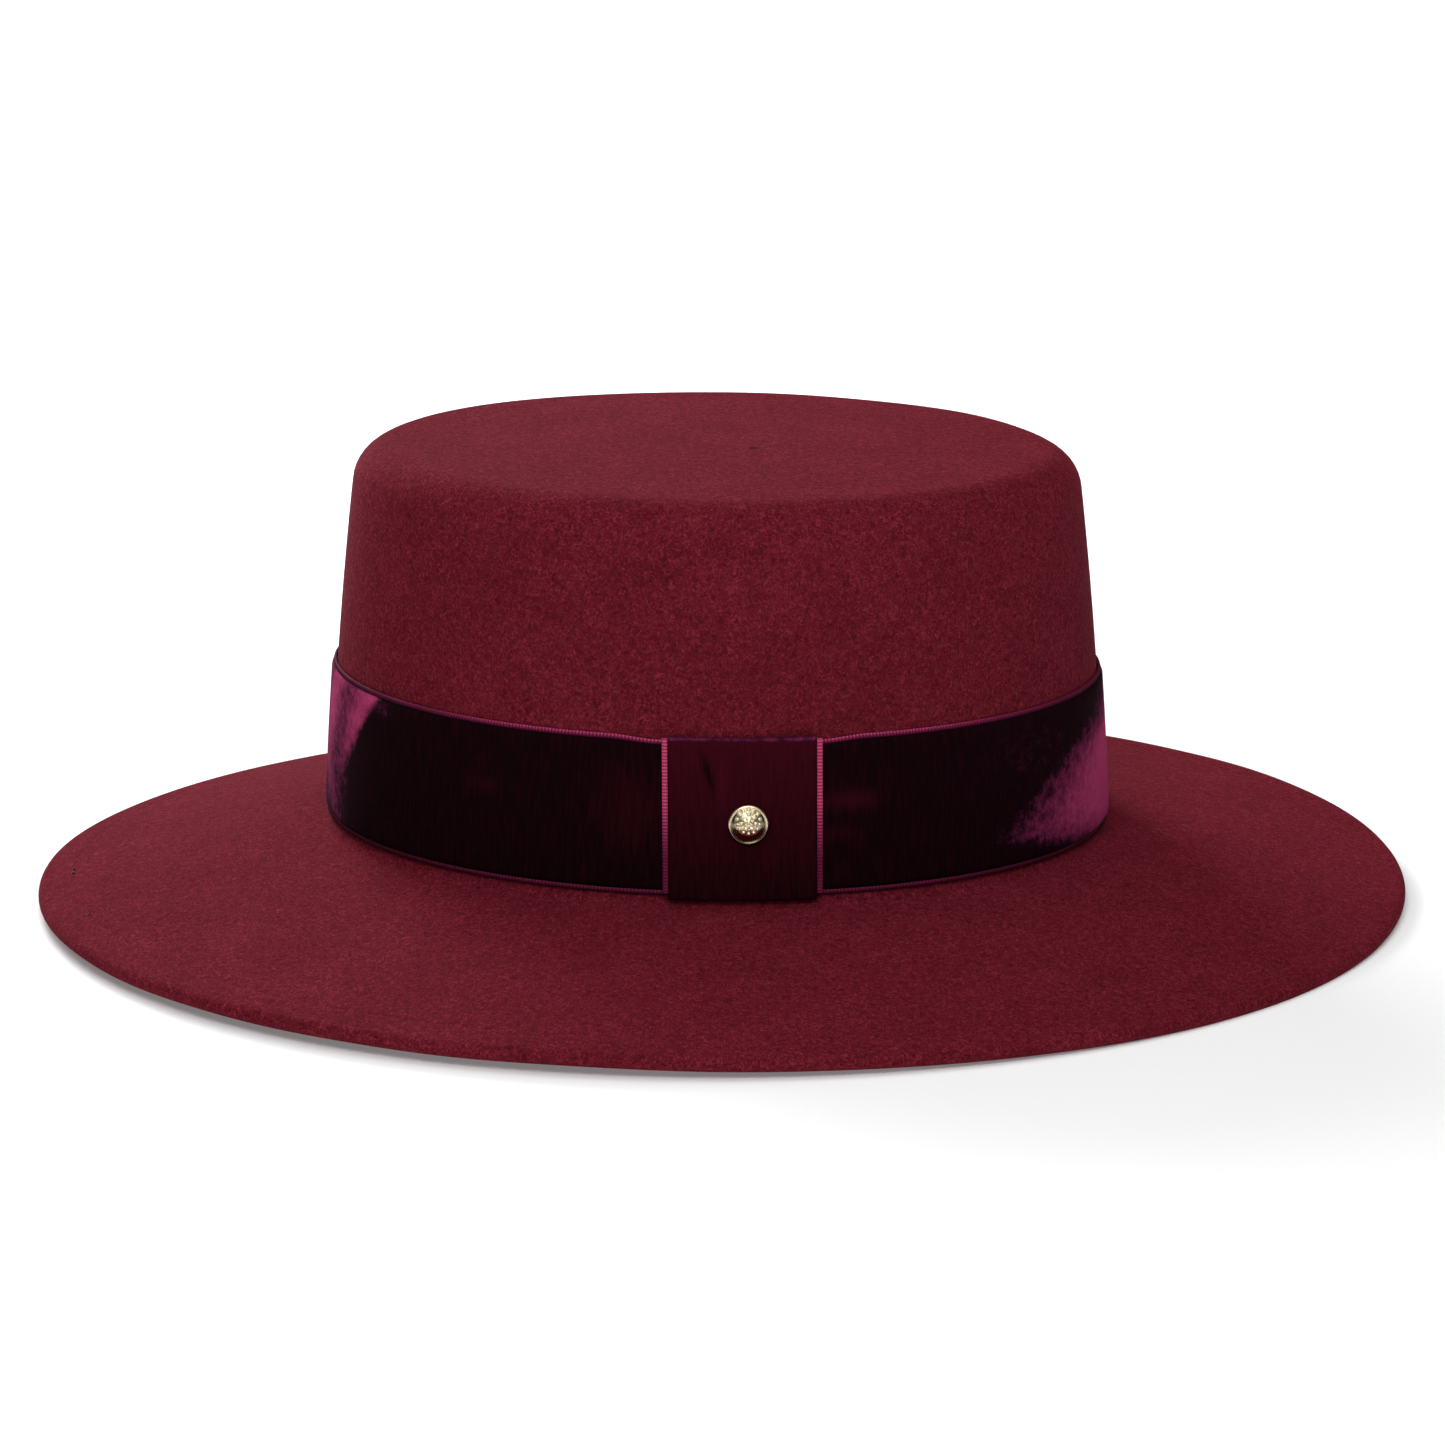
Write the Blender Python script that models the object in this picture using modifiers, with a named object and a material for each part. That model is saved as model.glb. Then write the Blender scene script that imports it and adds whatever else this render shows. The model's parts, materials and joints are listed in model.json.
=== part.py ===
"""Wide-brimmed boater hat of blocked wool felt, with a velvet ribbon, a folded tab and a domed stud.

The frame is in metres with +Z up. The hat rests on z = 0 by the edge of its brim. The wearer faces -X,
and the tab with its stud is on the wearer's left, towards -Y.

The round pieces are turned first, with r as the half length along X and z as the height, and then
blocked: the circle becomes the head's oval, the crown's top moves back and dips there, and the brim waves.
"""

import math

import bmesh
import bpy
import numpy as np

# Felt crown, measured on its outside
FELT = 0.0020
CROWN_LENGTH = 0.1995
CROWN_WIDTH = 0.1695
CROWN_RISE = 0.0974
CROWN_TAPER = 0.0083
CROWN_SWELL = 0.0010
TIP_RADIUS = 0.0105
TIP_DOME = 0.0010
CROWN_LEAN = 0.0170
CROWN_SET_BACK = 0.0005
CROWN_FORWARD = 0.0011

# Felt brim, with its edge folded under and sewn
BREAK_RADIUS = 0.0030
BRIM_WIDTH = 0.0764
BRIM_DROP = 0.0148
EDGE_DEPTH = 0.0040
FOLD_WIDTH = 0.0095
REST_WIDTH = 0.0030
GROOVE_WIDTH = 0.0018
GROOVE_DEPTH = 0.0004
EDGE_LIFT = 0.0014
WAVE_TWIST = 0.00155
WAVE_THREE = 0.0005
WAVE_THREE_AT = math.radians(10)

# Velvet ribbon round the crown's foot
RIBBON_WIDTH = 0.0392
RIBBON_LIFT = 0.0024
PILE_THICKNESS = 0.0011
SELVEDGE_WIDTH = 0.0013
SELVEDGE_THICKNESS = 0.0007
SEAT_GAP = 0.0003

# Velvet tab, folded over the ribbon's two edges and pinching the upper one
TAB_AT = 0.0051
TAB_WIDTH = 0.0390
TAB_PLY = 0.0013
TAB_TURN = 0.0006
TAB_CORNER = 0.0022
TAB_EDGE_ROUND = 0.0005
TAB_PINCH = 0.0009
PINCH_RUN = 0.0120

# Domed stud with a raised rosette, and the post that holds it
STUD_DIAMETER = 0.0097
STUD_RIM = 0.0007
STUD_DOME = 0.0017
STUD_OFFSET = 0.0013
STUD_DROP = 0.0008
RELIEF = 0.00025
PETALS = 8
POST_DIAMETER = 0.0016
POST_CLEARANCE = 0.0003

# The stud's rim from the dome outwards: in from its edge, up from the dome's foot, as shares of STUD_RIM
RIM_SECTION = ((0.8, 0.4), (0.2, 0.3), (0.0, -0.2))

# The rosette's rings: middle, half width, as shares of the stud's radius
PETAL_RING = (0.42, 0.22)
PELLET_RING = (0.76, 0.12)
BOSS = (0.0, 0.18)

# Facets, and the ring that divides the crown's flat top, as a share of its radius
SEGMENTS = 72
STUD_SEGMENTS = 48
POST_SEGMENTS = 16
TAB_STRIPS = 10
TOP_RING = 0.6
MERGE = 0.00005

# Worked out from the sizes above
FOOT = CROWN_LENGTH / 2
OVAL = (CROWN_LENGTH - CROWN_WIDTH) / 2
WALL_TILT = math.atan2(CROWN_TAPER, CROWN_RISE)
BRIM_TILT = math.atan2(BRIM_DROP, BRIM_WIDTH)
WALL_OUT = np.array((math.cos(WALL_TILT), math.sin(WALL_TILT)))
BRIM_UP = np.array((math.sin(BRIM_TILT), math.cos(BRIM_TILT)))
BRIM_OUT = np.array((math.cos(BRIM_TILT), -math.sin(BRIM_TILT)))
EDGE_RADIUS = EDGE_DEPTH / 2
EDGE_CENTRE = np.array((FOOT + BRIM_WIDTH - EDGE_RADIUS, EDGE_LIFT + EDGE_RADIUS))
EDGE_RUN = BRIM_WIDTH - EDGE_RADIUS
ROOT = EDGE_CENTRE[1] + (EDGE_RADIUS + EDGE_RUN * math.sin(BRIM_TILT)) / math.cos(BRIM_TILT)
TOP = ROOT + CROWN_RISE
RIBBON_OUT = SEAT_GAP + PILE_THICKNESS
RIBBON_TOP = RIBBON_LIFT + RIBBON_WIDTH
TAB_BACK = RIBBON_OUT + SEAT_GAP
TAB_FRONT = TAB_BACK + TAB_PLY
TAB_BOTTOM = RIBBON_LIFT - SEAT_GAP - TAB_TURN
TAB_TOP = RIBBON_TOP - TAB_PINCH + SEAT_GAP + TAB_TURN


def wall_point(height, out=0.0):
    """Point in the (r, z) half plane at a height up the crown's wall, moved out from its face."""
    share = height / CROWN_RISE
    bow = 4 * CROWN_SWELL * share * (1 - share)
    return np.array((FOOT - CROWN_TAPER * share, ROOT + height)) + (out + bow) * WALL_OUT


def arc(centre, radius, start, end, steps):
    """Points along an arc from one angle to another, both ends included."""
    turn = np.linspace(start, end, steps + 1)
    return centre + radius * np.column_stack((np.cos(turn), np.sin(turn)))


def between(first, last, steps):
    """Points that divide a straight run, without its ends."""
    share = np.linspace(0, 1, steps + 1)[1:-1, None]
    return first + (last - first) * share


def tip_centre():
    """Centre of the rounding between the crown's wall and its flat top."""
    start = CROWN_RISE - TIP_RADIUS + TIP_RADIUS * math.sin(WALL_TILT)
    return np.array((wall_point(start)[0] - TIP_RADIUS * math.cos(WALL_TILT), TOP - TIP_RADIUS))


def break_centre():
    """Centre of the hollow rounding between the crown's wall and the brim."""
    shift = np.linalg.solve(np.array((WALL_OUT, BRIM_UP)), np.full(2, BREAK_RADIUS))
    return np.array((FOOT, ROOT)) + shift


def skin(depth, tip_steps, wall_steps, break_steps):
    """Half profile of the felt at a depth below its outer face, from the top's centre to the brim."""
    tip = arc(tip_centre(), TIP_RADIUS - depth, math.pi / 2, WALL_TILT, tip_steps)
    turn = arc(break_centre(), BREAK_RADIUS + depth, math.pi + WALL_TILT, 1.5 * math.pi - BRIM_TILT, break_steps)
    foot = turn[0][1] - ROOT
    head = tip[-1][1] - ROOT
    heights = np.linspace(head, foot, wall_steps + 1)[1:-1]
    wall = np.array([wall_point(height, -depth) for height in heights])
    top_share = np.array((0.0, TOP_RING))
    dome = TIP_DOME * (1 - top_share**2)
    top = np.column_stack((top_share * tip[0][0], tip[0][1] + dome))
    return np.vstack((top, tip, wall, turn))


def felt_profile():
    """Closed half profile: down the outside, round the folded edge and back up the inside."""
    outside = skin(0.0, tip_steps=5, wall_steps=5, break_steps=4)
    inside = skin(FELT, tip_steps=4, wall_steps=4, break_steps=3)
    fold_run = FOLD_WIDTH - EDGE_RADIUS
    edge_top = EDGE_CENTRE + EDGE_RADIUS * BRIM_UP
    groove = edge_top - fold_run * BRIM_OUT
    groove_side = GROOVE_WIDTH / 2 * BRIM_OUT
    groove_points = np.array((groove - groove_side, groove - GROOVE_DEPTH * BRIM_UP, groove + groove_side))
    edge = arc(EDGE_CENTRE, EDGE_RADIUS, math.pi / 2 - BRIM_TILT, -math.pi / 2, 6)
    rest_end = edge[-1] - np.array((REST_WIDTH, 0.0))
    fold_end = EDGE_CENTRE - EDGE_RADIUS * BRIM_UP - fold_run * BRIM_OUT
    fold_step = edge_top - FELT * BRIM_UP - fold_run * BRIM_OUT
    return np.vstack((
        outside,
        between(outside[-1], groove_points[0], 5),
        groove_points,
        edge,
        rest_end,
        fold_end,
        fold_step,
        between(fold_step, inside[-1], 4),
        inside[::-1],
    ))


def crown_shift(height):
    """How far the crown lies along X from the brim's middle at a height above the table."""
    return CROWN_SET_BACK * (height - ROOT) / CROWN_RISE - CROWN_FORWARD


def blocked(points):
    """Turned points given the hat's form: oval, leaning back, with a waved brim pressed on its rest."""
    radius = np.hypot(points[:, 0], points[:, 1])
    turn = np.arctan2(points[:, 1], points[:, 0])
    flat = tip_centre()[0]
    half_width = np.where(radius > flat, radius - OVAL, radius * (1 - OVAL / flat))
    x = radius * np.cos(turn)
    y = half_width * np.sin(turn)
    share = np.clip((radius - FOOT) / BRIM_WIDTH, 0, 1)
    wave = WAVE_TWIST * np.sin(2 * turn) + WAVE_THREE * np.sin(3 * (turn - WAVE_THREE_AT))
    z = np.maximum(points[:, 2] - CROWN_LEAN * x * (1 - share) + wave * share**2, 0.0)
    return np.column_stack((x + crown_shift(points[:, 2]) * (1 - share), y, z))


def on_side(points):
    """Flat points (across, out, up) laid on the crown's side that faces -Y, its sides kept parallel."""
    wall = np.array([wall_point(up, out) for out, up in points[:, 1:]])
    across = points[:, 0] + TAB_AT
    from_middle = across - crown_shift(wall[:, 1])
    y = -(wall[:, 0] - OVAL) * np.sqrt(1 - (from_middle / wall[:, 0]) ** 2)
    return np.column_stack((across, y, wall[:, 1] - CROWN_LEAN * from_middle))


def mesh_points(mesh):
    """A mesh's vertices as one array."""
    points = np.empty(len(mesh.vertices) * 3)
    mesh.vertices.foreach_get("co", points)
    return points.reshape(-1, 3)


def move_points(mesh, points):
    """Puts a mesh's vertices at new places."""
    mesh.vertices.foreach_set("co", points.ravel())
    mesh.update()


def material(name, colour, roughness, metallic=0.0):
    """A Principled material."""
    made = bpy.data.materials.new(name)
    made.use_nodes = True
    shader = made.node_tree.nodes["Principled BSDF"]
    shader.inputs["Base Color"].default_value = (*colour, 1.0)
    shader.inputs["Roughness"].default_value = roughness
    shader.inputs["Metallic"].default_value = metallic
    return made


def add_object(name, mesh, collection, finish=None):
    """An object for a mesh, shaded smooth where its faces nearly meet."""
    mesh.shade_smooth()
    mesh.set_sharp_from_angle(angle=math.radians(35))
    made = bpy.data.objects.new(name, mesh)
    collection.objects.link(made)
    if finish:
        mesh.materials.clear()
        mesh.materials.append(finish)
    return made


def baked(thing):
    """The mesh that an object shows with its modifiers, in place of the object."""
    graph = bpy.context.evaluated_depsgraph_get()
    mesh = bpy.data.meshes.new_from_object(thing.evaluated_get(graph))
    mesh.transform(thing.matrix_world)
    bpy.data.objects.remove(thing)
    return mesh


def turned(profile, steps, closed=False):
    """Mesh turned about Z from a half profile that runs down its outer side."""
    count = len(profile)
    edges = [(i, i + 1) for i in range(count - 1)]
    if closed:
        edges.append((count - 1, 0))
    outline = bpy.data.meshes.new("outline")
    outline.from_pydata([(r, 0.0, z) for r, z in profile], edges, [])
    blank = bpy.data.objects.new("blank", outline)
    bpy.context.scene.collection.objects.link(blank)
    screw = blank.modifiers.new("turn", "SCREW")
    screw.steps = steps
    screw.render_steps = steps
    screw.use_merge_vertices = True
    screw.merge_threshold = MERGE
    return baked(blank)


def box(size, centre):
    """Mesh of a box given by its size and centre."""
    bm = bmesh.new()
    bmesh.ops.create_cube(bm, size=1.0)
    bmesh.ops.scale(bm, vec=size, verts=bm.verts)
    bmesh.ops.translate(bm, vec=centre, verts=bm.verts)
    return bm


def add_boolean(thing, other, operation):
    """A Boolean modifier by another object."""
    cut = thing.modifiers.new(operation.lower(), "BOOLEAN")
    cut.operation = operation
    cut.object = other


def felt_body(collection, finish):
    """Crown and brim, one piece of felt with a folded edge."""
    mesh = turned(felt_profile(), SEGMENTS)
    move_points(mesh, blocked(mesh_points(mesh)))
    return add_object("felt_body", mesh, collection, finish)


def pinch(points):
    """The ribbon's upper edge pressed down where the tab folds over it."""
    reach = np.abs(points[:, 0] - TAB_AT) - TAB_WIDTH / 2
    near = np.clip(1 - reach / PINCH_RUN, 0, 1) * (points[:, 1] < 0)
    up = (points[:, 2] - ROOT - RIBBON_LIFT) / RIBBON_WIDTH
    moved = points.copy()
    moved[:, 2] -= TAB_PINCH * np.clip(up, 0, 1) ** 4 * near**2 * (3 - 2 * near)
    return moved


def ribbon_band(collection, finish):
    """Velvet ribbon: a pile between two thin selvedges, closed round the crown."""
    selvedge = SEAT_GAP + SELVEDGE_THICKNESS
    outside = (
        (RIBBON_TOP, selvedge),
        (RIBBON_TOP - SELVEDGE_WIDTH, selvedge),
        (RIBBON_TOP - SELVEDGE_WIDTH, RIBBON_OUT),
        ((RIBBON_TOP + RIBBON_LIFT) / 2, RIBBON_OUT),
        (RIBBON_LIFT + SELVEDGE_WIDTH, RIBBON_OUT),
        (RIBBON_LIFT + SELVEDGE_WIDTH, selvedge),
        (RIBBON_LIFT, selvedge),
    )
    inside = [(height, SEAT_GAP) for height in np.linspace(RIBBON_LIFT, RIBBON_TOP, 4)]
    profile = np.array([wall_point(height, out) for height, out in (*outside, *inside)])
    mesh = turned(profile, SEGMENTS, closed=True)
    move_points(mesh, blocked(pinch(mesh_points(mesh))))
    return add_object("ribbon_band", mesh, collection, finish)


def tab_plate():
    """The tab's front ply: a plate with rounded lower corners and softened front edges."""
    height = TAB_TOP - TAB_BOTTOM
    centre = (0, (TAB_FRONT + TAB_BACK) / 2, (TAB_TOP + TAB_BOTTOM) / 2)
    bm = box((TAB_WIDTH, TAB_PLY, height), centre)
    low = [edge for edge in bm.edges if abs(edge.verts[0].co.z - edge.verts[1].co.z) < MERGE]
    corners = [
        edge for edge in low
        if abs(edge.verts[0].co.x - edge.verts[1].co.x) < MERGE and edge.verts[0].co.z < centre[2]
    ]
    bmesh.ops.bevel(bm, geom=corners, offset=TAB_CORNER, segments=3, profile=0.5, affect="EDGES")
    front = [edge for edge in bm.edges if all(vert.co.y > TAB_FRONT - MERGE for vert in edge.verts)]
    bmesh.ops.bevel(bm, geom=front, offset=TAB_EDGE_ROUND, segments=2, profile=0.5, affect="EDGES")
    return bm


def tab_turn(low):
    """The strip that the tab folds back over one edge of the ribbon."""
    reach = TAB_BACK + TAB_PLY / 2
    size = (TAB_WIDTH - 2 * TAB_CORNER, reach - SEAT_GAP, TAB_TURN)
    return box(size, (0, (reach + SEAT_GAP) / 2, low + TAB_TURN / 2))


def ribbon_tab(collection, cutters, finish):
    """Velvet tab laid flat, cut into strips, wrapped on the crown's side and bored for the stud's post."""
    flat = bpy.data.meshes.new("flat_tab")
    plate = tab_plate()
    plate.to_mesh(flat)
    blank = bpy.data.objects.new("blank_tab", flat)
    bpy.context.scene.collection.objects.link(blank)
    turns = []
    for name, low in (("upper", TAB_TOP - TAB_TURN), ("lower", TAB_BOTTOM)):
        mesh = bpy.data.meshes.new(name + "_turn")
        tab_turn(low).to_mesh(mesh)
        turn = bpy.data.objects.new(name + "_turn", mesh)
        bpy.context.scene.collection.objects.link(turn)
        add_boolean(blank, turn, "UNION")
        turns.append(turn)
    mesh = baked(blank)
    for turn in turns:
        bpy.data.objects.remove(turn)
    bm = bmesh.new()
    bm.from_mesh(mesh)
    for across in np.linspace(-TAB_WIDTH / 2, TAB_WIDTH / 2, TAB_STRIPS + 1)[1:-1]:
        everything = [*bm.verts, *bm.edges, *bm.faces]
        bmesh.ops.bisect_plane(bm, geom=everything, dist=MERGE, plane_co=(across, 0, 0), plane_no=(1, 0, 0))
    bmesh.ops.triangulate(bm, faces=bm.faces)
    bm.to_mesh(mesh)
    move_points(mesh, on_side(mesh_points(mesh)))
    mesh.flip_normals()
    tab = add_object("ribbon_tab", mesh, collection, finish)
    add_boolean(tab, post_cutter(cutters), "DIFFERENCE")
    return tab


def stud_place():
    """Matrix that takes the stud from its own axis, +Z outwards, to its place on the tab."""
    up = (TAB_TOP + TAB_BOTTOM) / 2 - STUD_DROP
    step = TAB_PLY
    flat = np.array((
        (STUD_OFFSET, TAB_FRONT, up),
        (STUD_OFFSET + step, TAB_FRONT, up),
        (STUD_OFFSET, TAB_FRONT, up + step),
    ))
    seat, side, above = on_side(flat)
    right = (side - seat) / np.linalg.norm(side - seat)
    out = np.cross(right, above - seat)
    out /= np.linalg.norm(out)
    place = np.eye(4)
    place[:3, 0] = right
    place[:3, 1] = np.cross(out, right)
    place[:3, 2] = out
    place[:3, 3] = seat
    return place


def placed(mesh, place):
    """A mesh moved by a matrix."""
    points = mesh_points(mesh)
    move_points(mesh, points @ place[:3, :3].T + place[:3, 3])


def post_cutter(cutters):
    """Bore through the tab for the stud's post."""
    radius = POST_DIAMETER / 2 + POST_CLEARANCE
    bm = bmesh.new()
    bmesh.ops.create_cone(
        bm, cap_ends=True, segments=POST_SEGMENTS, radius1=radius, radius2=radius, depth=4 * TAB_PLY)
    mesh = bpy.data.meshes.new("post_bore")
    bm.to_mesh(mesh)
    placed(mesh, stud_place())
    cutter = add_object("post_bore", mesh, cutters)
    cutter.hide_render = True
    cutter.display_type = "WIRE"
    return cutter


def rosette(points):
    """Height of the stud's raised rosette: a boss, a ring of petals and a ring of pellets."""
    radius = np.hypot(points[:, 0], points[:, 1]) / (STUD_DIAMETER / 2)
    turn = np.arctan2(points[:, 1], points[:, 0])
    boss, petal, pellet = [
        np.clip(1 - np.abs(radius - middle) / half_width, 0, 1)
        for middle, half_width in (BOSS, PETAL_RING, PELLET_RING)
    ]
    petal *= 0.5 + 0.5 * np.cos(PETALS * turn)
    pellet *= 0.5 - 0.5 * np.cos(2 * PETALS * turn)
    return RELIEF * np.clip(boss + petal + pellet, 0, 1) * (points[:, 2] > 0)


def stud(collection, finish):
    """Gold-tone stud: a low dome with a rim, a raised rosette and a hidden post."""
    radius = STUD_DIAMETER / 2
    field = radius - STUD_RIM
    base = SEAT_GAP
    rim_top = base + STUD_RIM
    shares = np.linspace(0, 1, 11)
    dome = np.column_stack((shares * field, rim_top + STUD_DOME * (1 - shares**2)))
    side = (
        (field, rim_top),
        *[(radius - STUD_RIM * inward, rim_top + STUD_RIM * up) for inward, up in RIM_SECTION],
        (radius, base),
        (POST_DIAMETER / 2, base),
        (POST_DIAMETER / 2, SEAT_GAP - TAB_PLY),
        (0.0, SEAT_GAP - TAB_PLY),
    )
    mesh = turned(np.vstack((dome[:-1], side)), STUD_SEGMENTS)
    points = mesh_points(mesh)
    points[:, 2] += rosette(points)
    move_points(mesh, points)
    placed(mesh, stud_place())
    return add_object("stud", mesh, collection, finish)


def main():
    """Builds the hat from an empty scene."""
    for thing in list(bpy.data.objects):
        bpy.data.objects.remove(thing)
    parts = bpy.data.collections.new("boater_hat")
    cutters = bpy.data.collections.new("cutters")
    for collection in (parts, cutters):
        bpy.context.scene.collection.children.link(collection)
    felt = material("burgundy wool felt", (0.075, 0.008, 0.014), 0.95)
    velvet = material("plum velvet", (0.030, 0.002, 0.010), 0.85)
    gold = material("gold-tone brass", (0.80, 0.58, 0.26), 0.25, 1.0)
    felt_body(parts, felt)
    ribbon_band(parts, velvet)
    ribbon_tab(parts, cutters, velvet)
    stud(parts, gold)


main()
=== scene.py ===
"""Looks of a wide-brimmed boater hat of blocked wool felt, built around its CAD frame.

The frame is in metres with +Z up. The wearer faces -X, and the velvet tab with its stud is on the wearer's
left, towards -Y. The round pieces are profiles turned about Z, with r as the half length along X, and are
then blocked as the felt is: the circle becomes the head's oval, the crown leans back and the brim waves.
"""

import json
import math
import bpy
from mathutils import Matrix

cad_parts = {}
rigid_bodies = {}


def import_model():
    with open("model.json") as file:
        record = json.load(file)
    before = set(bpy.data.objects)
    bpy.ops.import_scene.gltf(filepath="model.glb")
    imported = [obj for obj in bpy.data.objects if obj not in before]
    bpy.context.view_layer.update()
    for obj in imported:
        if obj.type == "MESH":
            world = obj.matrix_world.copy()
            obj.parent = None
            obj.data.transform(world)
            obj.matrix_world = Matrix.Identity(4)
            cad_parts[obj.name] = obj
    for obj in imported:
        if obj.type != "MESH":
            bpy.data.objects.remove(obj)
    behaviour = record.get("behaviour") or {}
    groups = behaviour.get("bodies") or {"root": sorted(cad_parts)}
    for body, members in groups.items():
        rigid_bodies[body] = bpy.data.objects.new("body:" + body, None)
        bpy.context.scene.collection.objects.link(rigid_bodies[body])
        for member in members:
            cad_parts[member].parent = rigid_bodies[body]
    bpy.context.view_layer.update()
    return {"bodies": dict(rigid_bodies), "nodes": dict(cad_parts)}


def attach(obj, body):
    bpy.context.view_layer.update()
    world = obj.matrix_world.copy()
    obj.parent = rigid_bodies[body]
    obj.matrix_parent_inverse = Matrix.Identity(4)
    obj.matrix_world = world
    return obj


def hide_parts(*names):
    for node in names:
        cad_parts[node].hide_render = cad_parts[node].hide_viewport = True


bl_info = {
    "name": "Boater Hat",
    "version": (1, 0, 0),
    "blender": (4, 5, 0),
    "location": "View3D > Sidebar > Boater Hat",
    "description": "Dresses the frame of a wool felt boater with its velvet ribbon, tab and domed stud",
    "category": "Add Mesh",
}

import bmesh
import bpy
import numpy as np
from bpy.props import FloatProperty, IntProperty, PointerProperty, StringProperty
from mathutils import Matrix, Vector

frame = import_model()
BODY = "root"
# Place of the one dark nib in the flat top
NIB = (0.0085, -0.0105, 0.1185)


def length(name, default, description):
    """A length setting in metres."""
    return FloatProperty(name=name, description=description, default=default, unit="LENGTH", precision=5)


def colour(name, default, description):
    """A colour setting, as an sRGB hex value."""
    return StringProperty(name=name, description=description, default=default)


class FeltSizes(bpy.types.PropertyGroup):
    """Sizes of the felt crown and brim, measured on the outside."""

    thickness: length("Thickness", 0.0020, "Thickness of the blocked felt")
    crown_length: length("Crown length", 0.1995, "Length of the crown's foot, front to back")
    crown_width: length("Crown width", 0.1695, "Width of the crown's foot")
    crown_rise: length("Crown rise", 0.0974, "Height of the crown's wall above the brim")
    crown_taper: length("Crown taper", 0.0083, "How far the wall leans inwards by its top")
    crown_swell: length("Crown swell", 0.0010, "How far the wall bows out half way up")
    tip_radius: length("Tip radius", 0.0105, "Rounding between the wall and the flat top")
    tip_dome: length("Tip dome", 0.0010, "Rise of the flat top at its middle")
    crown_lean: FloatProperty(name="Crown lean", description="Fall of the crown's top per length to the back",
                              default=0.0170)
    crown_set_back: length("Crown set back", 0.0005, "How far the top lies behind the foot")
    crown_forward: length("Crown forward", 0.0011, "How far the foot lies before the brim's middle")
    break_radius: length("Break radius", 0.0030, "Hollow rounding between the wall and the brim")
    brim_width: length("Brim width", 0.0764, "Width of the brim, from the wall to its edge")
    brim_drop: length("Brim drop", 0.0148, "Fall of the brim from the wall to its edge")
    edge_depth: length("Edge depth", 0.0040, "Depth of the folded edge")
    edge_lift: length("Edge lift", 0.0014, "Mean height of the edge above the table")
    fold_width: length("Fold width", 0.0095, "Width of the strip folded under the edge")
    groove_width: length("Groove width", 0.0018, "Width of the groove that the hidden seam pulls in")
    groove_depth: length("Groove depth", 0.00012, "Depth of that groove")
    rest_width: length("Rest width", 0.0030, "Width of the flat that the edge rests on")
    wave_twist: length("Twist", 0.00155, "Height of the brim's wave that turns twice round")
    wave_three: length("Ripple", 0.0005, "Height of the brim's wave that turns three times round")
    wave_three_at: FloatProperty(name="Ripple turn", description="Where that wave starts",
                                 default=math.radians(10), subtype="ANGLE")
    segments: IntProperty(name="Segments", description="Steps round the hat", default=320)


class RibbonSizes(bpy.types.PropertyGroup):
    """Sizes of the velvet ribbon and of the tab folded over it."""

    width: length("Width", 0.0392, "Width of the ribbon")
    lift: length("Lift", 0.0024, "Height of its lower edge above the brim's root")
    gap: length("Gap", 0.0003, "Clearance between two pieces that lie on each other")
    pile: length("Pile", 0.0011, "Thickness of the ribbon with its pile")
    selvedge: length("Selvedge width", 0.0013, "Width of the woven edge")
    selvedge_depth: length("Selvedge depth", 0.0007, "Thickness of the woven edge")
    # The real loops are 0.7 mm apart, drawn coarser so that they show
    rib: length("Rib spacing", 0.00085, "Spacing of the weft loops along the selvedge")
    tab_at: length("Tab place", 0.0051, "How far back from the crown's middle the tab lies")
    tab_width: length("Tab width", 0.0390, "Width of the tab with its selvedges")
    tab_selvedge: length("Tab selvedge", 0.0014, "Width of the tab's woven edges")
    tab_ply: length("Tab thickness", 0.0013, "Thickness of the tab's front")
    tab_turn: length("Tab turn", 0.0006, "Thickness of the tab where it folds over the ribbon's edges")
    tab_corner: length("Tab corner", 0.0022, "Rounding of the tab's lower corners")
    tab_pinch: length("Pinch", 0.0009, "How far the tab presses the ribbon's upper edge down")
    pinch_run: length("Pinch run", 0.0120, "How far along the ribbon that pinch fades")


class StudSizes(bpy.types.PropertyGroup):
    """Sizes of the domed stud."""

    diameter: length("Diameter", 0.0097, "Diameter of the stud")
    rim: length("Rim", 0.0007, "Width and depth of its rim")
    dome: length("Dome", 0.0017, "Rise of its dome above the rim")
    relief: length("Relief", 0.00030, "Height of the raised rosette")
    rosette: length("Rosette radius", 0.0034, "Radius of the rosette")
    rosette_up: length("Rosette place", 0.0010, "How far the rosette lies above the stud's middle")
    petals: IntProperty(name="Petals", description="Petals of the rosette", default=7)
    offset: length("Offset", 0.0013, "How far the stud lies behind the tab's middle")
    drop: length("Drop", 0.0008, "How far it lies below the tab's middle")


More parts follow.
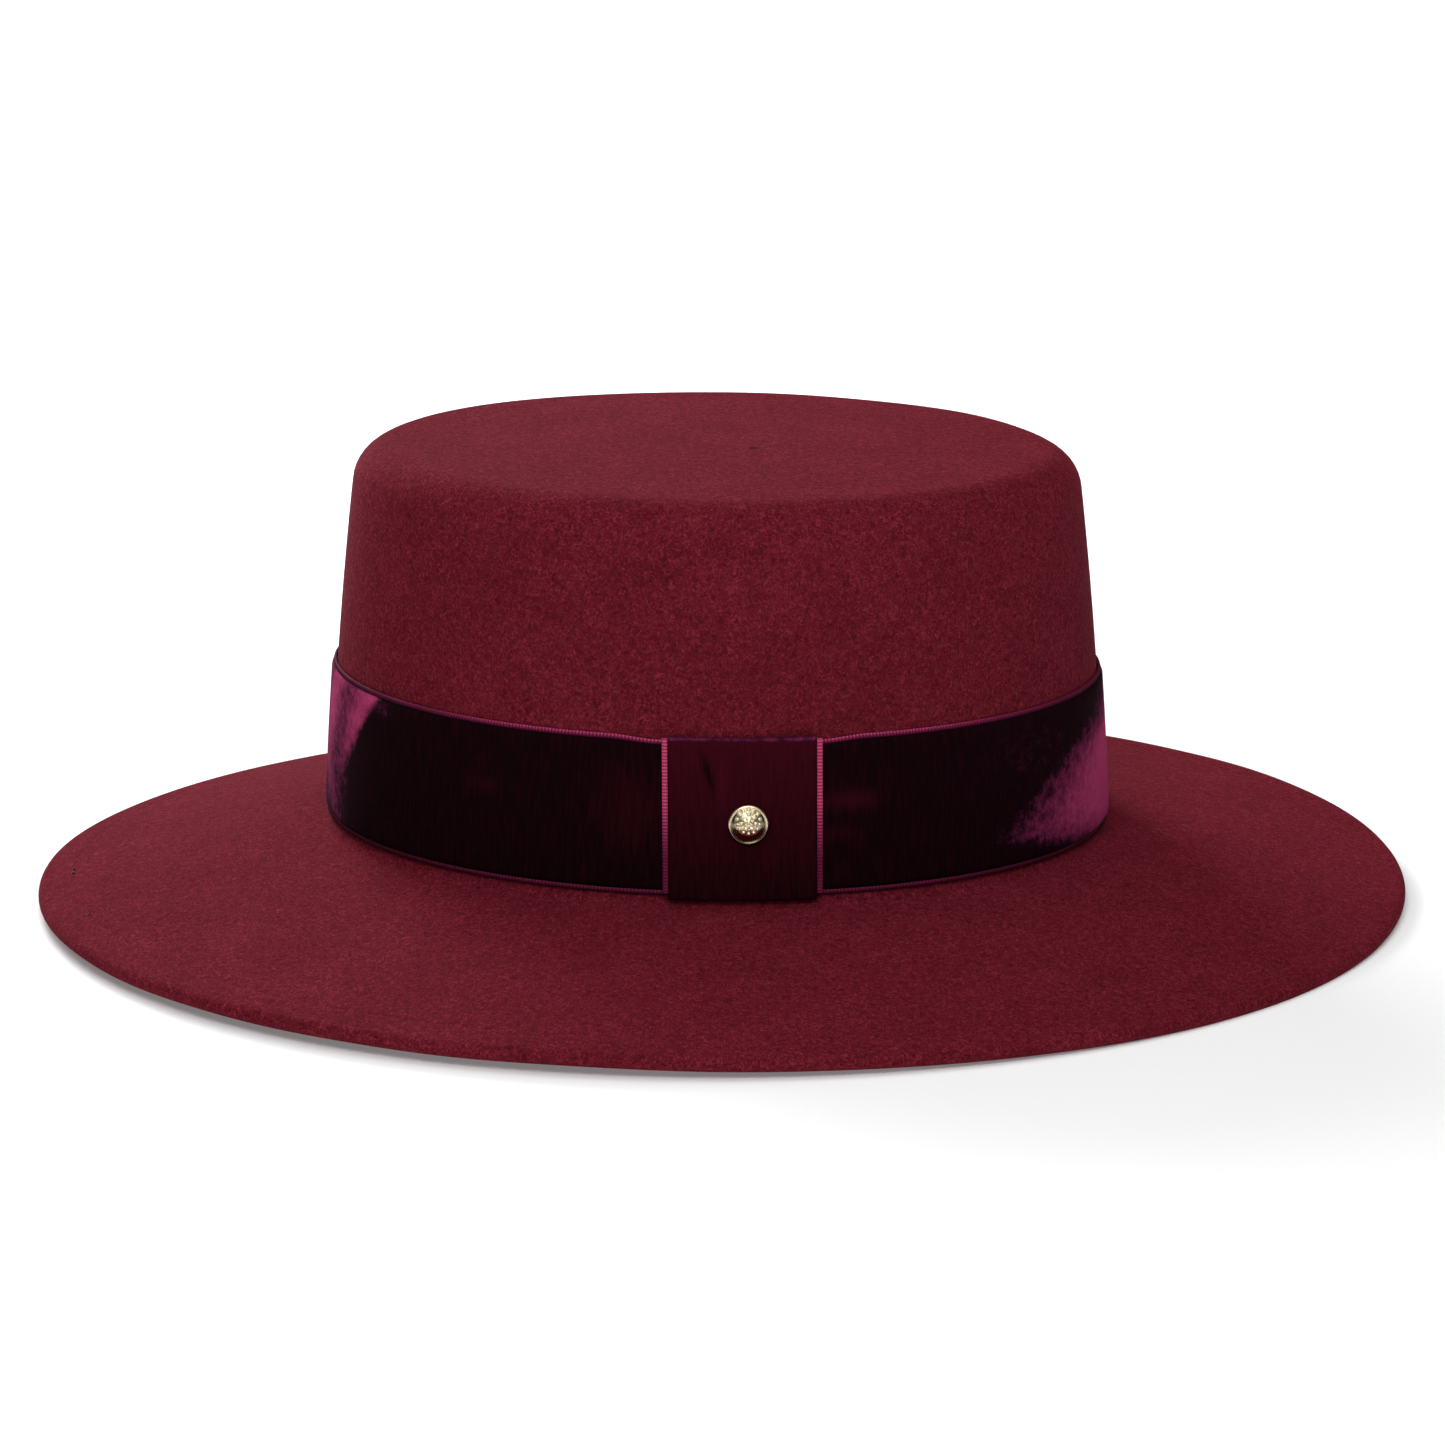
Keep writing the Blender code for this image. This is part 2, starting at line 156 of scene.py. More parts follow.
class HatColours(bpy.types.PropertyGroup):
    """Colours of the felt, velvet, selvedge and metal, as sRGB hex values."""

    felt_dark: colour("Felt, dark fibres", "#430c17", "Fibres in the felt's small hollows")
    felt: colour("Felt", "#5f1722", "Most of the felt's fibres")
    felt_light: colour("Felt, light fibres", "#802838", "Fibre tips that stand up")
    pile_dark: colour("Pile, ends", "#110306", "Velvet pile seen into its depth")
    pile_wine: colour("Pile, wine", "#460b1a", "Velvet pile that leans a little")
    # Colours of the pile's painted sheen, from its dark violet edge through half sheen to full magenta, laid out
    # like brushed pile
    pile_painted_sheen_edge: colour("Pile, violet", "#1e0718", "Velvet pile about to catch the light")
    pile_painted_half_sheen: colour("Pile, half brushed", "#661f40", "Velvet pile brushed half over")
    pile_painted_sheen: colour("Pile, brushed", "#b03c6a", "Velvet pile brushed flat, seen along its fibres")
    # The selvedges' painted highlight and painted shade, from the hollows' shade through the sides to the crests'
    # highlight
    satin: colour("Selvedge, crests", "#d4507a", "Crests of the selvedge's satin loops")
    satin_side: colour("Selvedge, sides", "#7a2248", "Sides of the satin loops")
    satin_painted_shade: colour("Selvedge, hollows", "#300818", "Hollows between the satin loops")
    gold: colour("Stud", "#fff0cb", "Gold-tone plating")
    # The stud's painted shade: the dark brim mirrored on its plain lower ground and rim
    stud_painted_shade: colour("Stud, hollows", "#7d725f", "Plating that has darkened below the relief")
    felt_bloom: colour("Felt, bloom", "#d8405c", "Fibre tips where the felt turns away")
    pile_bloom: colour("Pile, bloom", "#b84a90", "Pile tips where the velvet turns away")
    nib: colour("Nib", "#1c0508", "Knot of dark fibres in the flat top")
    thread: colour("Thread", "#2a070d", "Sewing thread of the brim's seam")
    floor: colour("Floor", "#f2f2f2", "Studio floor")


class Block:
    """The form that the felt is blocked to, and that the ribbon and tab follow."""

    def __init__(self, felt, ribbon):
        self.felt = felt
        self.ribbon = ribbon
        self.foot = felt.crown_length / 2
        self.oval = (felt.crown_length - felt.crown_width) / 2
        self.wall_tilt = math.atan2(felt.crown_taper, felt.crown_rise)
        self.brim_tilt = math.atan2(felt.brim_drop, felt.brim_width)
        self.wall_out = np.array((math.cos(self.wall_tilt), math.sin(self.wall_tilt)))
        self.brim_up = np.array((math.sin(self.brim_tilt), math.cos(self.brim_tilt)))
        self.brim_out = np.array((math.cos(self.brim_tilt), -math.sin(self.brim_tilt)))
        self.edge_radius = felt.edge_depth / 2
        run = felt.brim_width - self.edge_radius
        self.edge_centre = np.array((self.foot + run, felt.edge_lift + self.edge_radius))
        rise = (self.edge_radius + run * math.sin(self.brim_tilt)) / math.cos(self.brim_tilt)
        self.root = self.edge_centre[1] + rise
        self.top = self.root + felt.crown_rise
        start = felt.crown_rise - felt.tip_radius * (1 - math.sin(self.wall_tilt))
        tip_r = self.wall(start)[0] - felt.tip_radius * math.cos(self.wall_tilt)
        self.tip_centre = np.array((tip_r, self.top - felt.tip_radius))
        corner = np.linalg.solve(np.array((self.wall_out, self.brim_up)), np.full(2, felt.break_radius))
        self.break_centre = np.array((self.foot, self.root)) + corner

    def wall(self, height, out=0.0):
        """Points (r, z) up the crown's wall: a tapered line with a parabolic bow, moved out from its face."""
        share = np.asarray(height) / self.felt.crown_rise
        away = out + 4 * self.felt.crown_swell * share * (1 - share)
        line = np.stack(np.broadcast_arrays(self.foot - self.felt.crown_taper * share, self.root + height), -1)
        return line + np.asarray(away)[..., None] * self.wall_out

    def shift(self, height):
        """How far the crown lies along X from the brim's middle: a line over its height."""
        return self.felt.crown_set_back * (height - self.root) / self.felt.crown_rise - self.felt.crown_forward

    def blocked(self, points):
        """Turned points given the hat's form.

        The half width is r less the oval's difference, which fades to nothing at the flat top's middle. The
        height falls in proportion to x on the crown, fading over the brim, where two sine waves of twice and
        three times round grow with the square of the way out. Nothing goes below the table.
        """
        felt = self.felt
        radius = np.hypot(points[..., 0], points[..., 1])
        turn = np.arctan2(points[..., 1], points[..., 0])
        flat = self.tip_centre[0]
        half_width = np.where(radius > flat, radius - self.oval, radius * (1 - self.oval / flat))
        x = radius * np.cos(turn)
        share = np.clip((radius - self.foot) / felt.brim_width, 0, 1)
        wave = felt.wave_twist * np.sin(2 * turn) + felt.wave_three * np.sin(3 * (turn - felt.wave_three_at))
        z = points[..., 2] - felt.crown_lean * x * (1 - share) + wave * share**2
        x = x + self.shift(points[..., 2]) * (1 - share)
        return np.stack((x, half_width * np.sin(turn), np.maximum(z, 0.0)), -1)

    def on_side(self, across, out, up):
        """Flat points laid on the wall that faces -Y, where each height's oval gives y for the place across."""
        wall = self.wall(up, out)
        across = across + self.ribbon.tab_at + np.zeros(wall.shape[:-1])
        from_middle = across - self.shift(wall[..., 1])
        y = -(wall[..., 0] - self.oval) * np.sqrt(1 - (from_middle / wall[..., 0]) ** 2)
        return np.stack((across, y, wall[..., 1] - self.felt.crown_lean * from_middle), -1)


def arc(centre, radius, start, end, steps):
    """Points (r, z) along an arc from one angle to another, both ends included."""
    turn = np.linspace(start, end, steps + 1)
    return centre + radius * np.column_stack((np.cos(turn), np.sin(turn)))


def line(first, last, steps):
    """Points that divide a straight run, without its ends."""
    share = np.linspace(0, 1, steps + 1)[1:-1, None]
    return first + (last - first) * share


def turned(profile, steps):
    """A profile of (r, z) turned about Z: an array of steps by profile points by three."""
    turn = np.arange(steps) * (2 * math.pi / steps)
    r, z = profile[None, :, 0], profile[None, :, 1]
    return np.stack((r * np.cos(turn)[:, None], r * np.sin(turn)[:, None], z + 0 * turn[:, None]), -1)


def grid_mesh(name, points, closed=(True, False), layers=None, uv=None, weld=1e-6):
    """A mesh of quads on a grid of points, closed along either way, whose seams and poles are welded.

    layers are named values for each point. uv holds a place for each point and one more row or column
    where the grid is closed, so that a pattern runs over the seam.
    """
    rows, columns = points.shape[:2]
    i, j = np.meshgrid(
        np.arange(rows - (not closed[0])), np.arange(columns - (not closed[1])), indexing="ij")
    i, j = i.ravel(), j.ravel()
    corners = ((i, j), (i + 1, j), (i + 1, j + 1), (i, j + 1))
    faces = np.stack([(a % rows) * columns + b % columns for a, b in corners], -1)
    mesh = bpy.data.meshes.new(name)
    mesh.from_pydata(points.reshape(-1, 3), [], faces)
    for label, values in (layers or {}).items():
        layer = mesh.attributes.new(label, "FLOAT", "POINT")
        layer.data.foreach_set("value", values.astype(np.float32).ravel())
    if uv is not None:
        places = np.stack([uv[a, b] for a, b in corners], 1)
        mesh.uv_layers.new(name="weave").data.foreach_set("uv", places.astype(np.float32).ravel())
    bm = bmesh.new()
    bm.from_mesh(mesh)
    bmesh.ops.remove_doubles(bm, verts=bm.verts, dist=weld)
    bm.to_mesh(mesh)
    bm.free()
    return mesh


def joined(name, meshes):
    """One mesh made of several."""
    bm = bmesh.new()
    for mesh in meshes:
        bm.from_mesh(mesh)
        bpy.data.meshes.remove(mesh)
    made = bpy.data.meshes.new(name)
    bm.to_mesh(made)
    bm.free()
    return made


def add_piece(name, mesh, finish, replaces=()):
    """An object for a finished mesh, which rides on the hat and may stand for CAD nodes."""
    if not mesh.polygons:
        raise RuntimeError(name + " has no faces")
    bm = bmesh.new()
    bm.from_mesh(mesh)
    bmesh.ops.recalc_face_normals(bm, faces=bm.faces)
    bm.to_mesh(mesh)
    bm.free()
    mesh.shade_smooth()
    mesh.materials.append(finish)
    piece = bpy.data.objects.new(name, mesh)
    bpy.context.scene.collection.objects.link(piece)
    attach(piece, BODY)
    if replaces:
        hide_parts(*replaces)
    return piece


def linear(hex_value):
    """A linear RGBA colour from an sRGB hex value."""
    srgb = np.array([int(hex_value[i:i + 2], 16) / 255 for i in (1, 3, 5)])
    value = np.where(srgb <= 0.04045, srgb / 12.92, ((srgb + 0.055) / 1.055) ** 2.4)
    return (*value.tolist(), 1.0)


def add_node(tree, kind, settings=None, links=None):
    """Adds a node with values for its properties and sockets, and links into its sockets."""
    node = tree.nodes.new(kind)
    for key, value in (settings or {}).items():
        if isinstance(key, str) and hasattr(node, key):
            setattr(node, key, value)
        else:
            node.inputs[key].default_value = value
    for key, socket in (links or {}).items():
        tree.links.new(socket, node.inputs[key])
    return node


def new_material(name, **shader):
    """A Principled material, its shader and its tree. Constant values sit on the shader's own sockets."""
    made = bpy.data.materials.new(name)
    made.use_nodes = True
    tree = made.node_tree
    principled = tree.nodes["Principled BSDF"]
    for key, value in shader.items():
        principled.inputs[key.replace("_", " ").title().replace("Ior", "IOR")].default_value = value
    return made, tree, principled


def ramp(tree, factor, stops):
    """A colour ramp through (place, sRGB hex) stops."""
    node = add_node(tree, "ShaderNodeValToRGB", links={"Fac": factor})
    elements = node.color_ramp.elements
    while len(elements) < len(stops):
        elements.new(0.5)
    for element, (place, value) in zip(elements, stops):
        element.position = place
        element.color = linear(value)
    return node.outputs["Color"]


def blocked_felt(colours):
    """Wool felt, blocked and lightly brushed. The eye sees a dull, warm surface that is mottled by matted
    fibres about a millimetre long, with lighter tips and a soft bloom where it turns away."""
    made, tree, shader = new_material(
        "blocked wool felt", roughness=0.95, specular_ior_level=0.03,
        sheen_weight=0.075, sheen_roughness=0.5, sheen_tint=linear(colours.felt_bloom))
    place = add_node(tree, "ShaderNodeTexCoord").outputs["Object"]
    # Matted fibres: lumps 1.1 mm across, pulled into short strands by the distortion
    fibre = add_node(tree, "ShaderNodeTexNoise",
                     {"Scale": 1 / 0.0011, "Detail": 3.0, "Roughness": 0.6, "Distortion": 1.4}, {"Vector": place})
    # Brushed cloud: patches 14 mm across where the nap lies differently
    cloud = add_node(tree, "ShaderNodeTexNoise", {"Scale": 1 / 0.014, "Detail": 2.0}, {"Vector": place})
    # Single fibre tips, 0.15 mm thick in the real felt and drawn at 0.45 mm so that they show
    tips = add_node(tree, "ShaderNodeTexNoise", {"Scale": 1 / 0.00045, "Detail": 2.0}, {"Vector": place})
    mottle = add_node(tree, "ShaderNodeMath", {"operation": "MULTIPLY_ADD", 1: 0.12},
                      {0: cloud.outputs["Fac"], 2: fibre.outputs["Fac"]})
    mottle = add_node(tree, "ShaderNodeMath", {"operation": "MULTIPLY_ADD", 1: 0.35},
                      {0: tips.outputs["Fac"], 2: mottle.outputs["Value"]})
    base = ramp(tree, mottle.outputs["Value"],
                ((0.52, colours.felt_dark), (0.74, colours.felt), (0.96, colours.felt_light)))
    # One dark nib, a knot of fibres 2.4 mm across at half its darkness
    reach = add_node(tree, "ShaderNodeVectorMath", {"operation": "DISTANCE", 1: NIB}, {0: place})
    knot = add_node(tree, "ShaderNodeMapRange", {"From Min": 0.0016, "From Max": 0.0008, "To Max": 0.9},
                    {"Value": reach.outputs["Value"]})
    base = add_node(tree, "ShaderNodeMix", {"data_type": "RGBA", 7: linear(colours.nib)},
                    {0: knot.outputs["Result"], 6: base}).outputs[2]
    tree.links.new(base, shader.inputs["Base Color"])
    bump = add_node(tree, "ShaderNodeBump", {"Strength": 0.5, "Distance": 0.0002},
                    {"Height": mottle.outputs["Value"]})
    tree.links.new(bump.outputs["Normal"], shader.inputs["Normal"])
    return made


def cut_velvet(colours):
    """Cut-pile velvet of silk-like viscose. The eye looks into its upright pile, which is nearly black. The
    magenta sheen where the pile is seen from the side is painted into the colour, in patches laid out like
    brushed pile."""
    made, tree, shader = new_material(
        "plum cut-pile velvet", roughness=0.95, specular_ior_level=0.03,
        sheen_weight=0.05, sheen_roughness=0.3, sheen_tint=linear(colours.pile_bloom))
    # Painted sheen: how strongly the magenta sheen is painted in at each place
    painted_sheen = add_node(tree, "ShaderNodeAttribute", {"attribute_name": "painted_sheen"}).outputs["Fac"]
    wine = add_node(tree, "ShaderNodeAttribute", {"attribute_name": "wine"}).outputs["Fac"]
    weave = add_node(tree, "ShaderNodeUVMap", {"uv_map": "weave"}).outputs["UV"]
    # Ruffled pile: clumps 2.8 mm across that break up into single tufts
    clumps = add_node(tree, "ShaderNodeTexNoise", {"Scale": 1 / 0.0028, "Detail": 7.0, "Roughness": 0.8},
                      {"Vector": weave})
    # Rows of pile: streaks 0.6 mm wide and 8 mm long, up the ribbon
    rows = add_node(tree, "ShaderNodeMapping", {"Scale": (1 / 0.0006, 1 / 0.008, 1.0)}, {"Vector": weave})
    streak = add_node(tree, "ShaderNodeTexNoise", {"Scale": 1.0, "Detail": 2.0},
                      {"Vector": rows.outputs["Vector"]})
    # Pile tips: tufts 0.5 mm across, woven 0.3 mm apart in the real ribbon
    tufts = add_node(tree, "ShaderNodeTexNoise", {"Scale": 1 / 0.0005, "Detail": 2.0}, {"Vector": weave})
    ruffled = add_node(tree, "ShaderNodeMath", {"operation": "MULTIPLY_ADD", 1: 1.5},
                       {0: clumps.outputs["Fac"], 2: painted_sheen})
    inside = add_node(tree, "ShaderNodeMapRange", {"From Max": 0.2}, {"Value": painted_sheen})
    level = add_node(tree, "ShaderNodeMath", {"operation": "SUBTRACT", 1: 0.75}, {0: ruffled.outputs["Value"]})
    painted_sheen_level = add_node(tree, "ShaderNodeMath", {"operation": "MULTIPLY"},
                       {0: level.outputs["Value"], 1: inside.outputs["Result"]})
    lean = add_node(tree, "ShaderNodeMath", {"operation": "MULTIPLY_ADD", 1: 0.45},
                    {0: streak.outputs["Fac"], 2: wine})
    deep = ramp(tree, lean.outputs["Value"], ((0.24, colours.pile_dark), (1.0, colours.pile_wine)))
    # Colours of the painted sheen, mixed over the dark pile as it grows
    light = ramp(tree, painted_sheen_level.outputs["Value"],
                 ((0.12, colours.pile_painted_sheen_edge), (0.48, colours.pile_painted_half_sheen), (1.0, colours.pile_painted_sheen)))
    painted_sheen_mix = add_node(tree, "ShaderNodeMapRange", {"From Min": 0.0, "From Max": 0.40},
                           {"Value": painted_sheen_level.outputs["Value"]})
    base = add_node(tree, "ShaderNodeMix", {"data_type": "RGBA"},
                    {0: painted_sheen_mix.outputs["Result"], 6: deep, 7: light}).outputs[2]
    tree.links.new(base, shader.inputs["Base Color"])
    bump = add_node(tree, "ShaderNodeBump", {"Strength": 0.5, "Distance": 0.00015},
                    {"Height": tufts.outputs["Fac"]})
    tree.links.new(bump.outputs["Normal"], shader.inputs["Normal"])
    return made


def satin_selvedge(colours):
    """Woven selvedge of viscose weft loops. Its colour is a painted highlight and painted shade: shiny pink
    ribs over a violet shade, which dull towards the ribbon's ends."""
    made, tree, shader = new_material(
        "viscose satin selvedge", roughness=0.65, specular_ior_level=0.04)
    # Painted light: low for painted shade, high for a full painted highlight
    painted_light = add_node(tree, "ShaderNodeAttribute", {"attribute_name": "painted_light"}).outputs["Fac"]
    base = ramp(tree, painted_light, ((0.05, colours.satin_painted_shade), (0.45, colours.satin_side), (1.0, colours.satin)))
    tree.links.new(base, shader.inputs["Base Color"])
    return made


def gold_tone(colours):
    """Pressed brass with gold-tone plating, a little darker between the beads. The eye sees creamy highlights on
    each bead of the relief and the dark brim mirrored below, which is painted into the colour as painted shade."""
    made, tree, shader = new_material("gold-tone plated brass", roughness=0.2, metallic=1.0)
    raised = add_node(tree, "ShaderNodeAttribute", {"attribute_name": "raised"}).outputs["Fac"]
    # Gold where the relief stands, painted shade on the plain ground and the rim below it
    base = ramp(tree, raised, ((0.0, colours.stud_painted_shade), (0.45, colours.gold)))
    tree.links.new(base, shader.inputs["Base Color"])
    place = add_node(tree, "ShaderNodeTexCoord").outputs["Object"]
    # Polishing haze, in patches 0.8 mm across
    haze = add_node(tree, "ShaderNodeTexNoise", {"Scale": 1 / 0.0008, "Detail": 2.0}, {"Vector": place})
    rough = add_node(tree, "ShaderNodeMapRange", {"To Min": 0.14, "To Max": 0.26}, {"Value": haze.outputs["Fac"]})
    # The struck relief is satin, the plain ground and the rim are polished
    satin = add_node(tree, "ShaderNodeMath", {"operation": "MULTIPLY_ADD", 1: 0.32},
                     {0: raised, 2: rough.outputs["Result"]})
    tree.links.new(satin.outputs["Value"], shader.inputs["Roughness"])
    return made


def sewing_thread(colours):
    """Polyester sewing thread, dyed near the felt. The eye sees a slightly shinier, darker dash."""
    return new_material("burgundy polyester thread", roughness=0.6, base_color=linear(colours.thread))[0]


def felt_skin(block, depth, steps):
    """Half profile of the felt at a depth below its outer face, from the top's middle to the brim."""
    felt = block.felt
    top_steps, tip_steps, wall_steps, break_steps = steps
    tip = arc(block.tip_centre, felt.tip_radius - depth, math.pi / 2, block.wall_tilt, tip_steps)
    turn = arc(block.break_centre, felt.break_radius + depth, math.pi + block.wall_tilt,
               1.5 * math.pi - block.brim_tilt, break_steps)
    heights = np.linspace(tip[-1][1] - block.root, turn[0][1] - block.root, wall_steps + 1)[1:-1]
    share = np.linspace(0, 1, top_steps + 1)[:-1]
    top = np.column_stack((share * tip[0][0], tip[0][1] + felt.tip_dome * (1 - share**2)))
    return np.vstack((top, tip, block.wall(heights, -depth), turn))


def felt_profile(block):
    """Closed half profile: down the outside, along the brim with its groove, round the edge, back inside.

    The groove is a raised cosine. The folded strip under the edge ends in a small step.
    """
    felt = block.felt
    outside = felt_skin(block, 0.0, (26, 10, 30, 6))
    inside = felt_skin(block, felt.thickness, (12, 6, 12, 4))
    up, out = block.brim_up, block.brim_out
    edge_top = block.edge_centre + block.edge_radius * up
    fold_run = felt.fold_width - block.edge_radius
    groove = edge_top - fold_run * out
    side = np.linspace(-1, 1, 9)[:, None]
    dip = felt.groove_depth * (0.5 + 0.5 * np.cos(side * math.pi))
    groove_points = groove + side * felt.groove_width / 2 * out - dip * up
    edge = arc(block.edge_centre, block.edge_radius, math.pi / 2 - block.brim_tilt, -math.pi / 2, 14)
    rest_end = edge[-1] - np.array((felt.rest_width, 0.0))
    fold_end = block.edge_centre - block.edge_radius * up - fold_run * out
    fold_step = edge_top - felt.thickness * up - fold_run * out
    return np.vstack((
        outside, line(outside[-1], groove_points[0], 26), groove_points, line(groove_points[-1], edge[0], 4),
        edge, line(edge[-1], rest_end, 2), rest_end, line(rest_end, fold_end, 3), fold_end,
        line(fold_end, fold_step, 2), fold_step, line(fold_step, inside[-1], 14), inside[::-1],
    ))


def felt_form(points):
    """Slight unevenness of hand blocking: two slow products of sines over the place, 0.12 mm high."""
    x, y, z = np.moveaxis(points, -1, 0)
    lumps = np.sin(61 * x + 17 * z) * np.sin(53 * y - 29 * z) + 0.6 * np.sin(97 * x - 71 * y + 41 * z)
    return 0.00012 * lumps


def make_felt(block, colours):
    """The crown and brim, one closed skin of felt."""
    points = turned(felt_profile(block), block.felt.segments)
    points = block.blocked(points)
    points[..., 2] = np.maximum(points[..., 2] + felt_form(points) * (points[..., 2] > 0.0005), 0.0)
    mesh = grid_mesh("felt_hat", points, closed=(True, False))
    return add_piece("felt_hat", mesh, blocked_felt(colours), ["felt_body"])


def pinch(block, points):
    """The ribbon's upper edge pressed down where the tab folds over it, fading by a smooth step."""
    ribbon = block.ribbon
    reach = np.abs(points[..., 0] - ribbon.tab_at) - ribbon.tab_width / 2
    near = np.clip(1 - reach / ribbon.pinch_run, 0, 1) * (points[..., 1] < 0)
    up = (points[..., 2] - block.root - ribbon.lift) / ribbon.width
    moved = points.copy()
    moved[..., 2] -= ribbon.tab_pinch * np.clip(up, 0, 1) ** 4 * near**2 * (3 - 2 * near)
    return moved


def section_ring(block, section, steps):
    """A closed section of (height, out) turned round the crown's wall and blocked."""
    profile = block.wall(section[:, 0], section[:, 1])
    return block.blocked(pinch(block, turned(profile, steps)))


def spot(a, b, at, wide):
    """A soft round spot over two coordinates: a Gaussian about a place, with its own width either way."""
    return np.exp(-(((a - at[0]) / wide[0]) ** 2) - ((b - at[1]) / wide[1]) ** 2)


def pile_lay(turn, up):
    """How strongly sheen is painted into the pile's colour, and how far it leans to look wine red, both from 0 to
    1.

    The painted sheen is a patch at each end of the hat, laid out like brushed pile. A patch's half angle runs
    with the height up the ribbon through chosen values, and its painted sheen is the angle left to that edge over
    a soft width, times a strength that also runs with the height. The patch at the wearer's face has slanting
    streaks, a cosine of the angle to its edge on the tab's side. A few painted glints are added. The wine is a
    few soft spots beside the tab.
    """
    # Middle of the patch, heights, half angles there, softness there, strength there
    patches = (
        (180, (0, 0.38, 0.78, 1), (31, 22, 27.5, 32), (16, 5, 2, 2), (0.30, 0.68, 0.92, 0.80)),
        (0, (0, 0.18, 0.35, 0.6, 0.8, 1), (34, 52, 44, 33, 24, 18), (24, 34, 30, 24, 20, 16),
         (0.85, 1.0, 1.15, 1.1, 0.45, 0.15)),
    )
    degrees = np.degrees(turn) % 360
    painted_sheen = np.zeros(np.broadcast(degrees, up).shape)
    for middle, heights, halves, softs, strengths in patches:
        away = (degrees - middle + 180) % 360 - 180
        half = np.interp(up, heights, halves)
        left = (half - np.abs(away)) / np.interp(up, heights, softs)
        lay = np.clip(left, 0, 1) * np.interp(up, heights, strengths)
        if middle == 180:
            lay = lay * (0.76 + 0.24 * np.cos((half - away) * math.radians(24) + 1.0 - 2.5 * up))
        painted_sheen = np.maximum(painted_sheen, lay)
    # Strength, middle and width of each soft spot, in degrees round the hat and shares up the ribbon
    # Painted glints: a small spot beside the face patch's top and a broad faint one high towards the back patch
    painted_glints = ((0.25, (213, 0.94), (4, 0.06)), (0.15, (322, 0.75), (20, 0.4)))
    blushes = (
        (0.16, (258, 0.55), (5, 0.25)),
        (0.34, (289, 0.6), (4, 0.07)),
        (0.15, (287, 0.38), (3, 0.05)),
        (0.15, (235, 0.6), (3, 0.06)),
    )
    painted_sheen = painted_sheen + sum(strength * spot(degrees, up, at, wide) for strength, at, wide in painted_glints)
    wine = 0.03 + sum(strength * spot(degrees, up, at, wide) for strength, at, wide in blushes)
    return painted_sheen, wine


def make_ribbon(block, velvet, satin):
    """The velvet ribbon's pile between its two ribbed selvedges."""
    ribbon = block.ribbon
    low = ribbon.lift + ribbon.selvedge
    high = ribbon.lift + ribbon.width - ribbon.selvedge
    steps = block.felt.segments * 2
    heights = np.linspace(low, high, 40)
    share = (heights - low) / (high - low)
    edge_round = 0.0008
    rounded = 1 - np.clip(1 - np.minimum(heights - low, high - heights) / edge_round, 0, 1) ** 2
    ground = ribbon.selvedge_depth * 0.8
    outs = ribbon.gap + ground + (ribbon.pile - ground) * rounded
    outer = np.column_stack((heights, outs))[::-1]
    inner = np.column_stack((np.linspace(low, high, 6), np.full(6, ribbon.gap)))
    section = np.vstack((outer, inner))
    points = section_ring(block, section, steps)
    up = np.concatenate((share[::-1], np.linspace(0, 1, 6)))
    turn = np.arange(steps) * (2 * math.pi / steps)
    # Painted sheen and wine red at each point of the pile
    painted_sheen, wine = pile_lay(turn[:, None], up[None, :])
    girth = math.pi * (block.foot * 2 - block.oval)
    along = np.linspace(0, girth, steps + 1)
    climb = np.append(up * (high - low), up[0] * (high - low))
    uv = np.stack(np.meshgrid(along, climb, indexing="ij"), -1)
    mesh = grid_mesh("velvet_ribbon", points, closed=(True, True), layers={"painted_sheen": painted_sheen, "wine": wine}, uv=uv)
    add_piece("velvet_ribbon", mesh, velvet, ["ribbon_band"])
    edges = [selvedge_ring(block, start, girth) for start in (ribbon.lift, high)]
    add_piece("ribbon_selvedges", joined("ribbon_selvedges", edges), satin)


def selvedge_section(width, depth):
    """Closed section (across, out) of a woven edge: a flat back and a front that is a half ellipse."""
    turn = np.linspace(0, math.pi, 9)
    front = np.column_stack((width / 2 - width / 2 * np.cos(turn), depth * (0.35 + 0.65 * np.sin(turn))))
    back = np.array(((width, 0.0), (0.0, 0.0)))
    return np.vstack((front, back))


def ribs(count, samples):
    """Rib height from 0 to 1 along an edge, a rectified cosine sampled a few times in each rib."""
    place = np.arange(count * samples) / samples
    return np.abs(np.cos(math.pi * place))


def selvedge_ring(block, start, girth):
    """One ribbed selvedge round the crown, from a height upwards."""
    ribbon = block.ribbon
    count = round(girth / ribbon.rib)
    samples = 4
    rib = ribs(count, samples)
    section = selvedge_section(ribbon.selvedge, ribbon.selvedge_depth)
    turn = np.arange(count * samples) * (2 * math.pi / (count * samples))
    deep = section[None, :, 1] * (0.72 + 0.28 * rib[:, None])
    wall = block.wall(start + section[None, :, 0] + 0 * deep, ribbon.gap + deep)
    way = np.stack((np.cos(turn), np.sin(turn)), -1)[:, None]
    points = np.concatenate((wall[..., :1] * way, wall[..., 1:]), -1)
    points = block.blocked(pinch(block, points))
    from_tab = np.degrees(np.abs((turn + math.pi / 2 + math.pi) % (2 * math.pi) - math.pi))
    # The painted highlight fades over the degrees from the tab, and the lower selvedge has less of it
    strength = np.interp(from_tab, (10, 30, 45, 60, 90), (1.0, 0.9, 0.55, 0.36, 0.25))
    strength = strength * (1.0 if start > ribbon.width / 2 else 0.55)
    across = section[:, 0] / ribbon.selvedge
    # Painted highlight on each rib's crest and towards its upper side, painted shade between the ribs and below
    crest_painted_light = (0.08 + 0.92 * across[None, :] ** 1.5) * (0.35 + 0.65 * rib[:, None])
    return grid_mesh("selvedge", points, closed=(True, True), layers={"painted_light": strength[:, None] * crest_painted_light})


